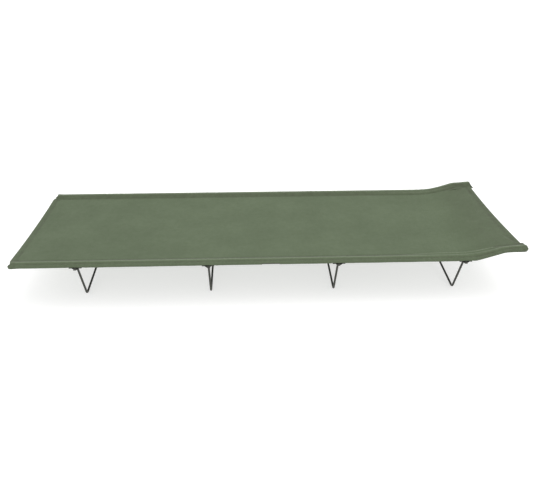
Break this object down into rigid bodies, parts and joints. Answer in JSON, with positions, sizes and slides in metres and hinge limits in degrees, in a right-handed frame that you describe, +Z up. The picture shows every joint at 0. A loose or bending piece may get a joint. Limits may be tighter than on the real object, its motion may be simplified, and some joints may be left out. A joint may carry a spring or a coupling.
{
  "type": "folding camp cot",
  "caption": "Low folding camp cot: taut canvas sleeved over side rails that fold in half, a raised head end, and bent-rod legs that swing flat.",
  "frame": {"origin": "on the floor, under the middle of the bed", "axes": "+X from the foot end to the raised head end, +Y to the left of someone who looks towards the head, +Z up"},
  "size_m": [1.8605, 0.65, 0.2239],
  "materials": {
    "canvas": "matt olive-green woven cloth",
    "rail_paint": "olive-black satin paint",
    "leg_paint": "olive-black satin paint",
    "zinc": "zinc-plated steel",
    "end_cap": "moulded black plastic",
    "spacer": "moulded black plastic"
  },
  "bodies": {
    "foot_frame": {"foot_rail_left": "rail_paint", "foot_rail_right": "rail_paint", "foot_cap_left": "end_cap", "foot_cap_right": "end_cap", "saddle_1_left": "leg_paint", "saddle_1_right": "leg_paint", "saddle_2_left": "leg_paint", "saddle_2_right": "leg_paint", "foot_saddle_rivets": "zinc", "foot_hinge_pins": "zinc", "foot_hinge_spacers": "spacer", "foot_canvas": "canvas"},
    "hinge_links": {"hinge_link_left": "zinc", "hinge_link_right": "zinc"},
    "head_frame": {"head_rail_left": "rail_paint", "head_rail_right": "rail_paint", "head_cap_left": "end_cap", "head_cap_right": "end_cap", "saddle_3_left": "leg_paint", "saddle_3_right": "leg_paint", "saddle_4_left": "leg_paint", "saddle_4_right": "leg_paint", "head_saddle_rivets": "zinc", "head_hinge_pins": "zinc", "head_hinge_spacers": "spacer", "head_canvas": "canvas"},
    "leg_1": {"leg_1": "leg_paint"},
    "leg_2": {"leg_2": "leg_paint"},
    "leg_3": {"leg_3": "leg_paint"},
    "leg_4": {"leg_4": "leg_paint"}
  },
  "joints": [
    {"name": "head_fold", "type": "hinge", "parent": "hinge_links", "child": "head_frame", "pos_m": [0.014, 0, 0.176], "axis": [0, -1, 0], "range_deg": [0, 88.5]},
    {"name": "link_fold", "type": "hinge", "parent": "foot_frame", "child": "hinge_links", "pos_m": [-0.014, 0, 0.176], "axis": [0, -1, 0], "range_deg": [0, 88.5]},
    {"name": "leg_1_swing", "type": "hinge", "parent": "foot_frame", "child": "leg_1", "pos_m": [-0.702, 0, 0.1607], "axis": [0, -1, 0], "range_deg": [0, 90]},
    {"name": "leg_2_swing", "type": "hinge", "parent": "foot_frame", "child": "leg_2", "pos_m": [-0.227, 0, 0.1607], "axis": [0, 1, 0], "range_deg": [0, 90]},
    {"name": "leg_3_swing", "type": "hinge", "parent": "head_frame", "child": "leg_3", "pos_m": [0.248, 0, 0.1607], "axis": [0, -1, 0], "range_deg": [0, 90]},
    {"name": "leg_4_swing", "type": "hinge", "parent": "head_frame", "child": "leg_4", "pos_m": [0.714, 0, 0.1607], "axis": [0, 1, 0], "range_deg": [0, 90]}
  ],
  "couplings": [
    {"joint": "head_fold", "follows": "link_fold", "ratio": 1}
  ]
}
